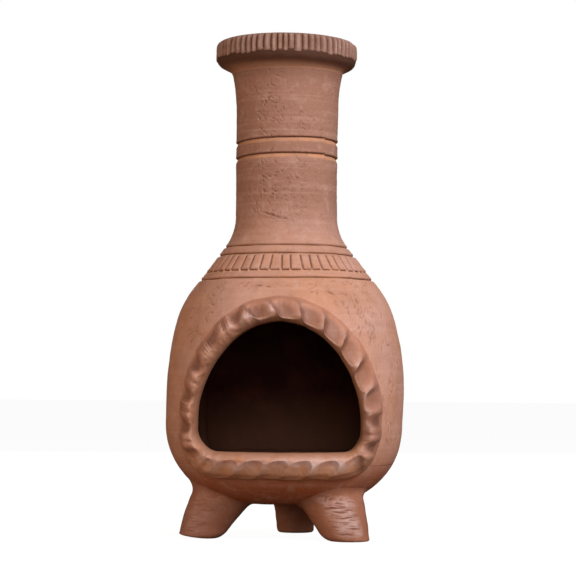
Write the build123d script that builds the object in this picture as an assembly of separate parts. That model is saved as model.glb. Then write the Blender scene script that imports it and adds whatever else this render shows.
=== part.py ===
from build123d import *

import math
import os

# A small terracotta chiminea on three stubby feet, as the separate clay pieces that a potter lutes together.
#
# Frame: millimetres, +Z up, the pot's own axis is Z, the floor is Z = 0 and the mouth faces -Y. Every shell of the
# pot is cut from one outer skin and one inner skin, which are solids of revolution made from tangent arcs. Angles
# round the pot run from the mouth (-Y) towards +X.

# ---- whole pot ----
HEIGHT = 600.0
WALL = 13.0
SEAM_ANGLE = 55.0  # where the two press-moulded halves meet, on the right of the mouth and opposite it
LAP = 8.0  # height of the half-lap where one course of clay sits in the next

# ---- outer skin: arcs as (centre r, centre z, radius), and the angle of the normal where each one ends ----
BASE_Z = 41.5
BASE_ARC = (49.0, BASE_Z + 95.0, 95.0)
WAIST_Z = 165.0  # top of the short upright stretch at the widest place
BELLY_RADIUS = 400.0
BELLY_END = 13.5
SHOULDER_RADIUS = 125.0
SHOULDER_END = 38.3
NECK_R = 62.0
NECK_FILLET = 60.0
FLARE_RADIUS = 190.0
FLARE_START_Z = 518.0

# ---- courses ----
BASE_TOP_Z = 88.0
BASE_LAP_R = 126.5
FIREBOX_TOP_Z = 350.8
NECK_LAP_R = 63.0
CROWN_BASE_Z = 560.0
NECK_TOP_Z = 586.0
CROWN_R = 86.0
CROWN_UNDERSIDE = ((67.0, 562.0), (79.5, 569.3), (CROWN_R, 583.0))
CROWN_EDGE = 2.0
FLUTES = 64
FLUTE_R = 4.2
FLUTE_DEPTH = 1.8

# ---- incised lines ----
NECK_GROOVES = (478.3, 459.5)
NECK_GROOVE_WIDTH = 7.0
NECK_GROOVE_DEPTH = 2.4
SHOULDER_LINES = (FIREBOX_TOP_Z, 340.8, 320.4, 311.0)
SHOULDER_LINE_WIDTH = 3.0
SHOULDER_LINE_DEPTH = 1.9
TALLIES = 48
TALLY_WIDTH = 1.8
TALLY_DEPTH = 1.4

# ---- mouth: half an ellipse on upright sides, with round lower corners ----
MOUTH_HALF_WIDTH = 95.5
MOUTH_SPRING_Z = 140.0
MOUTH_RISE = 118.0
MOUTH_SILL_Z = 105.0
MOUTH_CORNER = 24.0
FLANGE = 5.0  # clay of the lip that lines the cut through the wall
LIP_SIDE, LIP_TOP, LIP_BOTTOM = 25.0, 29.0, 32.0
LIP_PROUD = 13.0
BEVEL = 12.0  # how much wider than the opening the lip stands at BEVEL_FRONT_Y
BEVEL_FRONT_Y, BEVEL_BACK_Y = -165.0, -100.0
CRIMP_R = 15.0
CRIMP_DEPTH = 5.5
CRIMP_SPACING = 27.0
FRONT_Y = -200.0  # a plane clear in front of the pot, which the mouth's cutters start from
MIDDLE_Y = -40.0  # and one behind the front wall, where they end

# ---- feet: angle from the mouth, radius of the sole's centre, sole radius, how far the top spreads ----
FEET = {
    "foot_front_left": (-75.0, 104.0, 28.0, 26.0),
    "foot_front_right": (53.0, 97.0, 28.0, 25.0),
    "foot_rear": (176.0, 97.0, 23.5, 8.0),
}
FOOT_KNEE_Z, FOOT_TOP_Z = 34.0, 84.0
FOOT_KNEE_LEAN, FOOT_TOP_LEAN = 17.5, 58.0  # how much nearer the pot's axis the foot's middle lies up there
FOOT_KNEE_SPREAD = 0.36  # share of the spread that it has reached at the knee
SOLE_ROUND = 4.0

# ---- luting coils pressed over the seams inside ----
BASE_COIL_R = 7.0
NECK_COIL_R = 5.0
SEAM_COIL_WIDTH = 14.0
SEAM_COIL_THICK = 5.0
SEAM_COIL_TOP_Z = 340.0
GAP = 0.05


def on_arc(centre_r, centre_z, radius, degrees):
    a = math.radians(degrees)
    return centre_r + radius * math.cos(a), centre_z + radius * math.sin(a)


def arc(centre_r, centre_z, radius, start, end):
    """An arc of the profile, from one angle to another about its own centre."""
    points = [on_arc(centre_r, centre_z, radius, a) for a in (start, (start + end) / 2, end)]
    return ThreePointArc(*points)


def skin_arcs(offset):
    """The outer skin's arcs, with their radii changed so that the skin moves outwards by offset."""
    base_r, base_z, base_radius = BASE_ARC
    waist_r = base_r + base_radius
    belly = (waist_r - BELLY_RADIUS, WAIST_Z, BELLY_RADIUS)
    belly_end = on_arc(*belly, BELLY_END)
    shoulder_centre = on_arc(*belly_end, -SHOULDER_RADIUS, BELLY_END)
    shoulder = (*shoulder_centre, SHOULDER_RADIUS)
    shoulder_end = on_arc(*shoulder, SHOULDER_END)
    fillet_r = NECK_R + NECK_FILLET
    fillet_start_r = fillet_r - NECK_FILLET * math.cos(math.radians(SHOULDER_END))
    run = (shoulder_end[0] - fillet_start_r) / math.sin(math.radians(SHOULDER_END))
    fillet_start_z = shoulder_end[1] + run * math.cos(math.radians(SHOULDER_END))
    fillet_z = fillet_start_z + NECK_FILLET * math.sin(math.radians(SHOULDER_END))
    return [
        arc(base_r, base_z, base_radius + offset, -90, 0),
        arc(belly[0], belly[1], belly[2] + offset, 0, BELLY_END),
        arc(*shoulder_centre, SHOULDER_RADIUS + offset, BELLY_END, SHOULDER_END),
        arc(fillet_r, fillet_z, NECK_FILLET - offset, 180 + SHOULDER_END, 180),
    ]


def turned(edges):
    """The solid of revolution about Z of a closed outline in the r, z plane."""
    return revolve(Plane.XZ * make_face(Wire(edges)), Axis.Z)


def turned_polygon(*points):
    return turned(Polyline(*points, close=True).edges())


def skin_solid(offset, flared):
    """Everything inside the outer skin moved outwards by offset, up to the top of the pot."""
    base, belly, shoulder, throat = skin_arcs(offset)
    edges = [Line((0, base.position_at(0).Y), base @ 0), base, Line(base @ 1, belly @ 0), belly, shoulder]
    edges += [Line(shoulder @ 1, throat @ 0), throat]
    if flared:
        flare_radius = FLARE_RADIUS - offset
        flare_end = 180 - math.degrees(math.asin((CROWN_BASE_Z - FLARE_START_Z) / flare_radius))
        flare = arc(NECK_R + FLARE_RADIUS, FLARE_START_Z, flare_radius, 180, flare_end)
        edges += [Line(throat @ 1, flare @ 0), flare]
        top = [flare @ 1, (0, CROWN_BASE_Z)]
    else:
        top = [throat @ 1, (NECK_R + offset, HEIGHT), (0, HEIGHT)]
    top.append((0, base.position_at(0).Y))
    edges += [Line(a, b) for a, b in zip(top, top[1:])]
    return turned([e.edge() for e in edges])


def band(low_z, high_z, inner_r, outer_r):
    """A plain ring between two heights and two radii."""
    return turned_polygon((inner_r, low_z), (outer_r, low_z), (outer_r, high_z), (inner_r, high_z))


def skin_point(z, arcs):
    """Radius of the outer skin and the slope of its normal at a height on the shoulder or the neck fillet."""
    _, _, shoulder, throat = arcs
    start, end = shoulder @ 1, throat @ 0
    if z <= end.Y:
        share = (z - start.Y) / (end.Y - start.Y)
        return start.X + (end.X - start.X) * share, SHOULDER_END
    centre_z = (throat @ 1).Y
    lift = math.asin((centre_z - z) / NECK_FILLET)
    return NECK_R + NECK_FILLET * (1 - math.cos(lift)), math.degrees(lift)


def groove(radius, z, slope, width, depth):
    """A V-shaped ring that cuts a line into the skin square to its surface."""
    lean = math.radians(slope)
    normal = (math.cos(lean), math.sin(lean))
    along = (-math.sin(lean), math.cos(lean))
    clear = 2.0

    def at(out, up):
        return radius + normal[0] * out + along[0] * up, z + normal[1] * out + along[1] * up

    half = width / 2
    flare = half * (depth + clear) / depth
    return turned_polygon(at(-depth, 0), at(clear, -flare), at(clear, flare))


def halves(solid):
    """The press-moulded half that holds the mouth, and the rear half."""
    reach = 2 * BELLY_RADIUS
    block = Box(reach, reach, 2 * HEIGHT, align=(Align.CENTER, Align.MIN, Align.CENTER))
    front_side = Rot(0, 0, SEAM_ANGLE + 90) * block
    return solid & front_side, solid - front_side


def mouth_outline(side, top, bottom):
    """The mouth's face in the r, z plane of the front, grown by side, top and bottom."""
    half = MOUTH_HALF_WIDTH + side
    low = MOUTH_SILL_Z - bottom
    corner = MOUTH_CORNER + min(side, bottom)
    arch = EllipticalCenterArc((0, MOUTH_SPRING_Z), half, MOUTH_RISE + top, arc_size=180)
    sill = Polyline((half, MOUTH_SPRING_Z), (half, low), (-half, low), (-half, MOUTH_SPRING_Z))
    face = make_face([arch.edge(), *sill.edges()])
    corners = face.vertices().filter_by(lambda v: abs(v.Y - low) < GAP)
    return fillet(corners, corner)


def mouth_prism(side=0.0, top=None, bottom=None):
    """The mouth's outline run through the front wall, along Y."""
    face = mouth_outline(side, side if top is None else top, side if bottom is None else bottom)
    return Pos(0, FRONT_Y, 0) * extrude(Plane.XZ * face, -(MIDDLE_Y - FRONT_Y))


def mouth_bevel():
    """The cutter for the bevel that leads into the mouth: it narrows from the lip's crest to the opening."""
    wide = Plane.XZ.offset(-BEVEL_FRONT_Y) * mouth_outline(BEVEL, BEVEL, BEVEL)
    narrow = Plane.XZ.offset(-BEVEL_BACK_Y) * mouth_outline(0, 0, 0)
    return loft([wide, narrow])


def crimp_places():
    """Places along the outside of the lip, in the r, z plane, where a thumb has pressed it."""
    face = mouth_outline(LIP_SIDE - CRIMP_R / 2, LIP_TOP - CRIMP_R / 2, LIP_BOTTOM - CRIMP_R / 2)
    wire = face.wires()[0]
    count = round(wire.length / CRIMP_SPACING)
    return [wire.position_at((i + 0.5) / count) for i in range(count)]


def belly_radius(z):
    """Radius of the outer skin at a height on the bowl or the belly."""
    base_r, base_z, base_radius = BASE_ARC
    radius = base_r + base_radius
    if z < base_z:
        radius = base_r + math.sqrt(base_radius**2 - (base_z - z) ** 2)
    elif z > WAIST_Z:
        radius += math.sqrt(BELLY_RADIUS**2 - (z - WAIST_Z) ** 2) - BELLY_RADIUS
    return radius


def crimps():
    """One ball for each thumb mark, centred so that it bites CRIMP_DEPTH into the lip's face."""
    balls = []
    for place in crimp_places():
        face_r = belly_radius(place.Y) + LIP_PROUD
        turn = math.asin(place.X / face_r)
        centre_r = face_r + CRIMP_R - CRIMP_DEPTH
        balls.append(Pos(centre_r * math.sin(turn), -centre_r * math.cos(turn), place.Y) * Sphere(CRIMP_R))
    return balls


def tallies(arcs):
    """Short upright cuts between the second and third shoulder lines."""
    upper, lower = SHOULDER_LINES[1], SHOULDER_LINES[2]
    radius, slope = skin_point((upper + lower) / 2, arcs)
    length = (upper - lower) / math.cos(math.radians(slope))
    cut = Rot(0, -slope, 0) * Box(2 * TALLY_DEPTH, TALLY_WIDTH, length)
    cut = Pos(radius, 0, (upper + lower) / 2) * cut
    return [Rot(0, 0, 360 * i / TALLIES) * cut for i in range(TALLIES)]


def make_base_bowl(outer, inner):
    """The bowl, with half of its top edge raised for the lap."""
    wall = outer - inner
    low = wall & band(0, BASE_TOP_Z, 0, 2 * CROWN_R)
    return low + (wall & band(0, BASE_TOP_Z + LAP, 0, BASE_LAP_R))


def make_firebox(outer, inner, arcs, bowl):
    """The belly and shoulder as one turned course, before it is split and the mouth is cut."""
    wall = outer - inner
    body = wall & band(BASE_TOP_Z, FIREBOX_TOP_Z, 0, 2 * CROWN_R)
    body += wall & band(FIREBOX_TOP_Z, FIREBOX_TOP_Z + LAP, 0, NECK_LAP_R)
    body -= bowl
    cuts = tallies(arcs)
    for z in SHOULDER_LINES[1:]:
        radius, slope = skin_point(z, arcs)
        cuts.append(groove(radius, z, slope, SHOULDER_LINE_WIDTH, SHOULDER_LINE_DEPTH))
    return body - cuts


def make_chimney(outer, inner, firebox):
    """The neck as one turned course, with the reduced end that the crown slips over."""
    wall = (outer - inner) & band(FIREBOX_TOP_Z, CROWN_BASE_Z, 0, 2 * CROWN_R)
    wall += band(CROWN_BASE_Z - LAP, NECK_TOP_Z, NECK_R - WALL, NECK_R)
    body = wall - firebox
    return body - [groove(NECK_R, z, 0, NECK_GROOVE_WIDTH, NECK_GROOVE_DEPTH) for z in NECK_GROOVES]


def make_crown():
    """The fluted rim: a thick ring that caps the neck's end."""
    bore = NECK_R - WALL
    start, middle, end = CROWN_UNDERSIDE
    outline = [
        Line((NECK_R, CROWN_BASE_Z), (start[0], CROWN_BASE_Z)),
        Line((start[0], CROWN_BASE_Z), start),
        ThreePointArc(start, middle, end),
        Line(end, (CROWN_R, HEIGHT - CROWN_EDGE)),
        Line((CROWN_R, HEIGHT - CROWN_EDGE), (CROWN_R - CROWN_EDGE, HEIGHT)),
        Line((CROWN_R - CROWN_EDGE, HEIGHT), (bore, HEIGHT)),
        Line((bore, HEIGHT), (bore, NECK_TOP_Z)),
        Line((bore, NECK_TOP_Z), (NECK_R, NECK_TOP_Z)),
        Line((NECK_R, NECK_TOP_Z), (NECK_R, CROWN_BASE_Z)),
    ]
    ring = turned([e.edge() for e in outline])
    stand_off = CROWN_R + FLUTE_R - FLUTE_DEPTH
    low = Align.CENTER, Align.CENTER, Align.MIN
    flute = Pos(stand_off, 0, CROWN_BASE_Z) * Cylinder(FLUTE_R, HEIGHT - CROWN_BASE_Z + 1, align=low)
    return ring - [Rot(0, 0, 360 * i / FLUTES) * flute for i in range(FLUTES)]


def make_lip(outer, inner):
    """The lip round the mouth, as the arch and the sill that are luted on at the lower corners."""
    opening = mouth_prism()
    proud = skin_solid(LIP_PROUD, True)
    rim = (mouth_prism(LIP_SIDE, LIP_TOP, LIP_BOTTOM) & proud) - outer
    flange = mouth_prism(FLANGE) & (outer - inner)
    lip = (rim + flange) - opening - mouth_bevel() - crimps()
    corner_x = MOUTH_HALF_WIDTH - MOUTH_CORNER
    corner_z = MOUTH_SILL_Z + MOUTH_CORNER
    spread = corner_z
    wedge = Polyline(
        (corner_x, corner_z),
        (corner_x + spread, corner_z - spread),
        (-corner_x - spread, corner_z - spread),
        (-corner_x, corner_z),
        close=True,
    )
    below = Pos(0, FRONT_Y, 0) * extrude(Plane.XZ * make_face(wedge.edges()), -(MIDDLE_Y - FRONT_Y))
    return lip - below, lip & below


def make_foot(outer, angle, reach, sole_r, spread):
    """A stubby foot that leans in and widens upwards, until it meets the underside of the bowl."""
    sections = [
        Circle(sole_r),
        Pos(-FOOT_KNEE_LEAN, 0, FOOT_KNEE_Z) * Circle(sole_r + FOOT_KNEE_SPREAD * spread),
        Pos(-FOOT_TOP_LEAN, 0, FOOT_TOP_Z) * Circle(sole_r + spread),
    ]
    body = loft(sections)
    body = fillet(body.edges().sort_by(Axis.Z)[0], SOLE_ROUND)
    return Rot(0, 0, angle - 90) * Pos(reach, 0, 0) * body - outer


def ring_coil(z, wall_r, coil_r, wall):
    """A coil of clay pressed over a level seam inside the pot."""
    return (Pos(0, 0, z) * Torus(wall_r, coil_r)) - wall


def seam_coils(inner):
    """The two upright coils inside the firebox, one over each seam between the moulded halves."""
    hollow = inner - skin_solid(-WALL - SEAM_COIL_THICK, False)
    low = BASE_TOP_Z + LAP + BASE_COIL_R + 1
    length = 2 * (BASE_ARC[0] + BASE_ARC[2])
    align = Align.MIN, Align.CENTER, Align.MIN
    strip = Pos(0, 0, low) * Box(length, SEAM_COIL_WIDTH, SEAM_COIL_TOP_Z - low, align=align)
    return [hollow & (Rot(0, 0, SEAM_ANGLE - 90 + turn) * strip) for turn in (0, 180)]


def main():
    os.makedirs("parts", exist_ok=True)
    arcs = skin_arcs(0)
    outer, inner = skin_solid(0, True), skin_solid(-WALL, False)
    bowl = make_base_bowl(outer, inner)
    firebox = make_firebox(outer, inner, arcs, bowl)
    chimney = make_chimney(outer, inner, firebox)
    cut = mouth_prism(FLANGE)
    firebox_front, firebox_rear = halves(firebox)
    chimney_front, chimney_rear = halves(chimney)
    arch, sill = make_lip(outer, inner)
    wall = outer - inner
    base_seam_z, neck_seam_z = BASE_TOP_Z + LAP, FIREBOX_TOP_Z + LAP
    base_wall_r = BASE_ARC[0] + math.sqrt((BASE_ARC[2] - WALL) ** 2 - (BASE_ARC[1] - base_seam_z) ** 2)
    neck_wall_r = skin_point(neck_seam_z, arcs)[0] - WALL
    right_coil, left_coil = seam_coils(inner)
    parts = {
        "base_bowl": bowl,
        "firebox_front_shell": firebox_front - cut,
        "firebox_rear_shell": firebox_rear,
        "chimney_front_shell": chimney_front,
        "chimney_rear_shell": chimney_rear,
        "crown_ring": make_crown(),
        "mouth_arch_lip": arch,
        "mouth_sill_lip": sill,
        "base_seam_coil": ring_coil(base_seam_z, base_wall_r, BASE_COIL_R, wall),
        "neck_seam_coil": ring_coil(neck_seam_z, neck_wall_r, NECK_COIL_R, wall),
        "right_seam_coil": right_coil,
        "left_seam_coil": left_coil,
    }
    for name, place in FEET.items():
        parts[name] = make_foot(outer, *place)
    for name, shape in parts.items():
        export_step(shape, f"parts/{name}.step")


main()
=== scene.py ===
"""The looks of a small terracotta chiminea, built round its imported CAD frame.

Each CAD piece is replaced by the same piece as hand-finished clay. All are laid out on one skin: a curve in
the r, z plane swept round the pot's axis, plus a relief of the clay's lumps, lines and dents. So neighbours
meet wherever the CAD ones do. Angles run from the mouth (-Y) towards +X, and lengths are metres.
"""

import itertools
from collections import namedtuple
from math import asin, cos, degrees, pi, radians, sin

import bmesh
import bpy
import numpy as np
from mathutils import Matrix, Vector


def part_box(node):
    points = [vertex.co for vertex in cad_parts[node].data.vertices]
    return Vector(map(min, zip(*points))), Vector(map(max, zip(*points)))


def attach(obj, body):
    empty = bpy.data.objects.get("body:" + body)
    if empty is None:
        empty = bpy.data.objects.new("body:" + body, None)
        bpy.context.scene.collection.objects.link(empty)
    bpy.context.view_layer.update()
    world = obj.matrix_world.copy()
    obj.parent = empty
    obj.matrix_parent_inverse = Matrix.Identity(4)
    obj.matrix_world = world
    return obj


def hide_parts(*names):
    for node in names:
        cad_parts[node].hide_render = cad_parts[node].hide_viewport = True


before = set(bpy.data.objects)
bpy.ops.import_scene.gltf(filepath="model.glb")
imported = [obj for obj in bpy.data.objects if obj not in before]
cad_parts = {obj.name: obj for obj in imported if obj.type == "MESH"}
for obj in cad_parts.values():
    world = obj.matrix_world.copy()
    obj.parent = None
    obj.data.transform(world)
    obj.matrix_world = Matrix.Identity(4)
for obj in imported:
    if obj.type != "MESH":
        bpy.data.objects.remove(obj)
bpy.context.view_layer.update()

MM = 0.001
TURN = 2 * pi
DRAW = np.random.default_rng(24)

# ---- heights that the CAD frame settles ----
BOWL_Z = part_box("base_bowl")[0][2]
BASE_TOP_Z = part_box("firebox_rear_shell")[0][2]
FIREBOX_TOP_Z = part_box("chimney_rear_shell")[0][2]
CROWN_BASE_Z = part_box("crown_ring")[0][2]
NECK_TOP_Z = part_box("chimney_rear_shell")[1][2]
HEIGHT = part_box("crown_ring")[1][2]
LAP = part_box("base_bowl")[1][2] - BASE_TOP_Z

# ---- the skin's arcs, as in the CAD ----
WALL = 13 * MM
BASE_ARC = (49 * MM, 95 * MM)
WAIST_Z = 165 * MM
BELLY_RADIUS, BELLY_END = 400 * MM, 13.5
SHOULDER_RADIUS, SHOULDER_END = 125 * MM, 38.3
NECK_R, NECK_FILLET = 62 * MM, 60 * MM
FLARE_RADIUS, FLARE_START_Z = 190 * MM, 518 * MM
BASE_LAP_R, NECK_LAP_R = 126.5 * MM, 63 * MM
SEAM_ANGLE = 55
ARC_STEPS = 400

# ---- how finely the meshes are laid out ----
SIDE_COLUMNS, NECK_COLUMNS = 352, 270  # round half of the firebox, or of the neck
BOWL_ROW, FIREBOX_ROW, CHIMNEY_ROW = 1.8 * MM, 1.5 * MM, 0.95 * MM
LIP_STEP = 0.85 * MM
RIB_STEPS = 14
FOOT_COLUMNS = 240

# ---- mouth and lip ----
MOUTH_HALF_WIDTH, MOUTH_SPRING_Z, MOUTH_RISE = 95.5 * MM, 140 * MM, 118 * MM
MOUTH_SILL_Z, MOUTH_CORNER = 105 * MM, 24 * MM
CUTTER_Y = (-200 * MM, -40 * MM)
FLANGE = 5 * MM
LIP_SIDE, LIP_TOP, LIP_BOTTOM = 25 * MM, 29 * MM, 32 * MM
LIP_CREST = 11 * MM
LIP_MID = 14 * MM  # places along the lip are measured on this offset from the opening

# ---- incised lines: height at the front, drop towards the back, and rise to the right ----
NECK_GROOVES = [(478.3 * MM, 1.8 * MM, 1.4 * MM), (459.5 * MM, 2.1 * MM, 0.9 * MM)]
SHOULDER_LINES = [
    (FIREBOX_TOP_Z, 0.4 * MM, 0),
    (340.8 * MM, 0.1 * MM, 0),
    (320.4 * MM, -0.6 * MM, 0.3 * MM),
    (311 * MM, -1.2 * MM, 0.3 * MM),
]
DASHED_LINE = 2
TALLIES = 48
# A line's section: the steep edge above its bottom, the long flank below, its depth, and the burr above it.
Cut = namedtuple("Cut", "edge flank depth burr_place burr_width")
NECK_CUT = Cut(1.5 * MM, 5.2 * MM, 2.3 * MM, 2.6 * MM, 1.1 * MM)
SHOULDER_CUT = Cut(1.5 * MM, 3.4 * MM, 2.2 * MM, 2.4 * MM, 1.0 * MM)
BURR_HEIGHT = 0.35 * MM
TALLY_DEPTH, TALLY_HALF_WIDTH, TALLY_TOP_GAP = 1.5 * MM, 1.7 * MM, 2.6 * MM

# Where the pot was drawn in by hand: height, reach up and down, how much, and how much more on the right.
DRAWN_IN = [
    (425 * MM, 62 * MM, 0.9 * MM, 0),
    (312 * MM, 42 * MM, 2.0 * MM, -0.5 * MM),
    (128 * MM, 42 * MM, 1.5 * MM, 1.5 * MM),
]
# Painted shade on the neck under the crown: how dark it is at the crown's foot, and how far down it fades.
PAINTED_SHADE_UNDER_CROWN, PAINTED_SHADE_REACH = 0.38, 20 * MM


# ======== noise and curves

GRADIENTS = DRAW.normal(size=(512, 3))
GRADIENTS /= np.linalg.norm(GRADIENTS, axis=1, keepdims=True)
GRADIENT_KEYS = 509  # the largest prime under their number
CELL_PRIMES = (73856093, 19349663, 83492791)
SEED_SHIFT, NOISE_GAIN = 19.7, 1.6


def noise(points, size, seed=0):
    """Smooth gradient noise, from about -1 to 1, in lumps of a size that may differ by axis."""
    q = points / np.asarray(size) + SEED_SHIFT * (seed + 1)
    cell = np.floor(q).astype(np.int64)
    f = q - cell
    blend = f**3 * (f * (f * 6 - 15) + 10)
    total = np.zeros(len(points))
    for step in itertools.product((0, 1), repeat=3):
        key = np.bitwise_xor.reduce((cell + step) * CELL_PRIMES, axis=1) % GRADIENT_KEYS
        slope = (GRADIENTS[key] * (f - step)).sum(axis=1)
        total += slope * np.prod(np.where(np.array(step, bool), blend, 1 - blend), axis=1)
    return NOISE_GAIN * total


def lumps(at, *layers):
    """Noise laid on noise: each layer's height and size in millimetres, and its seed."""
    return sum(high * MM * noise(at, size * MM, seed) for high, size, seed in layers)


def unit(x):
    return np.clip(x, 0, 1)


def ease(x):
    x = unit(x)
    return x * x * (3 - 2 * x)


def rise(length, start, width):
    """A smooth step from 0 to 1, with its start and width in millimetres."""
    return ease((length - start * MM) / (width * MM))


def bump(distance, width):
    return np.exp(-((distance / width) ** 2))


def smooth_line(points, steps):
    """A Catmull-Rom line through points, with that many steps between neighbours."""
    p = np.array(points, float)
    p = np.vstack([2 * p[0] - p[1], p, 2 * p[-1] - p[-2]])
    t = np.linspace(0, 1, steps, endpoint=False)[:, None]
    spans = []
    for a, b, c, d in zip(p, p[1:], p[2:], p[3:]):
        square, cube = 2 * a - 5 * b + 4 * c - d, 3 * b - a - 3 * c + d
        spans.append(0.5 * (2 * b + (c - a) * t + square * t**2 + cube * t**3))
    return np.vstack([*spans, p[-2:-1]])


def lengths_along(points):
    """How far along a line each of its 2-D points lies."""
    return np.concatenate([[0], np.cumsum(np.hypot(*np.diff(points, axis=0).T))])


# ======== the skin

def arc(centre_r, centre_z, radius, start, end):
    """Points on an arc as r, z and tilt of the outward normal. A negative radius is a hollow arc."""
    a = np.radians(np.linspace(start, end, ARC_STEPS))
    return np.stack([centre_r + radius * np.cos(a), centre_z + radius * np.sin(a), a], axis=1)


def build_skin():
    """The plain outer skin from under the bowl to the crown: run, and (r, z, tilt) there."""
    base_r, base_radius = BASE_ARC
    waist_r = base_r + base_radius
    base = arc(base_r, BOWL_Z + base_radius, base_radius, -90, 0)
    belly = arc(waist_r - BELLY_RADIUS, WAIST_Z, BELLY_RADIUS, 0, BELLY_END)
    tilt = radians(BELLY_END)
    centre_r = belly[-1, 0] - SHOULDER_RADIUS * cos(tilt)
    centre_z = belly[-1, 1] - SHOULDER_RADIUS * sin(tilt)
    shoulder = arc(centre_r, centre_z, SHOULDER_RADIUS, BELLY_END, SHOULDER_END)
    tilt = radians(SHOULDER_END)
    throat_r = NECK_R + NECK_FILLET
    slope = (shoulder[-1, 0] - throat_r + NECK_FILLET * cos(tilt)) / sin(tilt)
    throat_z = shoulder[-1, 1] + slope * cos(tilt) + NECK_FILLET * sin(tilt)
    throat = arc(throat_r, throat_z, -NECK_FILLET, SHOULDER_END, 0)
    flare_end = -degrees(asin((CROWN_BASE_Z - FLARE_START_Z) / FLARE_RADIUS))
    flare = arc(NECK_R + FLARE_RADIUS, FLARE_START_Z, -FLARE_RADIUS, 0, flare_end)
    floor = np.array([[0, BOWL_Z, -pi / 2]])
    points = np.vstack([floor, base, belly, shoulder, throat, flare])
    return lengths_along(points[:, :2]), points


SKIN_RUN, SKIN = build_skin()


def skin(run):
    """Radius, height and tilt of the plain outer skin, that far up it from under the bowl."""
    return [np.interp(run, SKIN_RUN, SKIN[:, k]) for k in range(3)]


def run_at(z):
    """How far up the skin a height lies."""
    return np.interp(z, SKIN[1:, 1], SKIN_RUN[1:])


def on_pot(angle, radius, z):
    return np.stack([radius * np.sin(angle), -radius * np.cos(angle), z], axis=-1)


# ======== the skin's relief

# Crowds of nicks: how many, angle and its spread, height and its spread in mm, size, slant and its spread.
DENT_CROWDS = [
    (70, (-16, 13), (514, 21), 0.85, (-28, 34)),
    (22, (22, 9), (494, 8), 0.85, (-20, 35)),
    (70, (-2, 18), (424, 17), 0.90, (-24, 30)),
    (30, (14, 26), (398, 10), 0.80, (-20, 30)),
    (130, (10, 120), (450, 60), 0.62, (-15, 40)),
    (18, (5, 34), (294, 5), 0.80, (-6, 14)),
    (64, (47, 6), (268, 24), 1.05, (75, 34)),
    (50, (66, 8), (190, 50), 1.08, (80, 30)),
    (20, (40, 14), (292, 8), 0.90, (-30, 50)),
    (50, (-50, 15), (258, 36), 1.10, (-12, 36)),
    (90, (180, 75), (230, 90), 0.65, (0, 60)),
    (40, (0, 180), (330, 6), 0.50, (0, 60)),
]
# The ones that stand out: angle, height, half length, half width, depth and slant.
MARKS = [
    (-13.3, 300, 4.6, 1.2, 1.7, -4),
    (-7.2, 298.5, 3.2, 1.2, 1.4, -12),
    (4.4, 300, 2.4, 1.0, 0.9, 0),
    (18, 292, 2.4, 1.0, 1.0, 0),
    (29.2, 291.5, 4.2, 1.4, 2.1, -28),
    (31, 281, 2.2, 1.1, 1.0, -20),
    (45, 283, 3.4, 1.1, 1.3, 60),
    (52.8, 251.8, 3.6, 1.2, 1.3, -45),
    (-20, 387.4, 4.2, 1.2, 1.2, -20),
    (-14, 385.6, 4.6, 1.2, 1.3, -16),
    (-6, 382.6, 4.2, 1.2, 1.2, -22),
    (1.5, 381, 4.0, 1.1, 1.1, -14),
]
MARK_CURVE = 0.5


def draw_dents():
    """Angle, height, half length, half width, depth, slant and curve of every nick and pit."""
    dents = [(radians(a), z * MM, long * MM, wide * MM, deep * MM, radians(slant), MARK_CURVE)
             for a, z, long, wide, deep, slant in MARKS]
    for count, (angle, angle_spread), (z, z_spread), size, (slant, slant_spread) in DENT_CROWDS:
        for _ in range(count):
            dents.append((
                radians(DRAW.normal(angle, angle_spread)),
                DRAW.normal(z, z_spread) * MM,
                size * DRAW.uniform(1.2, 4.4) * MM,
                size * DRAW.uniform(0.8, 1.35) * MM,
                size * DRAW.uniform(0.45, 1.05) * MM,
                radians(DRAW.normal(slant, slant_spread)),
                DRAW.normal(0, 0.9),
            ))
    return dents


DENTS = draw_dents()
TALLY_STEP = TURN / TALLIES
TALLY_START = radians(0.8)
TALLY_ANGLES = (np.arange(TALLIES) + DRAW.normal(0, 0.045, TALLIES)) * TALLY_STEP - TALLY_START
TALLY_SLANTS = DRAW.normal(0, 0.035, TALLIES)
SEAM_RELIEF = radians(SEAM_ANGLE - 4)


def turn_between(angle, other):
    return (angle - other + pi) % TURN - pi


def incised(across, cut):
    """Depth, from 0 to 1, of a line cut with a blunt stick."""
    return unit(np.minimum((cut.edge - across) / cut.edge, (across + cut.flank) / cut.flank))


def clay_skin(at):
    """The lumps, wiping lines and grain of the clay itself, which is rougher on the neck."""
    patch = ease(0.5 + 0.9 * noise(at, 60 * MM, 3))
    neck = rise(at[:, 2] - FIREBOX_TOP_Z, 0, 25)
    height = lumps(at, (0.9, 120, 0), (0.45, 45, 1), (0.22, 16, 2))
    height += 0.10 * MM * noise(at, (110 * MM, 110 * MM, 3.6 * MM), 4) * (0.3 + 0.7 * neck)
    slanted = at.copy()
    slanted[:, 2] += 0.42 * at[:, 0] + 2.5 * MM * noise(at, 15 * MM, 9)
    ripple = 1 - 2.2 * abs(noise(slanted, (7 * MM, 7 * MM, 2.7 * MM), 10))
    height += 0.26 * MM * ripple * patch * (0.22 + 0.78 * neck)
    return height + lumps(at, (0.09 + 0.08 * neck, 4.6, 5), (0.06, 2.7, 6))


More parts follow.
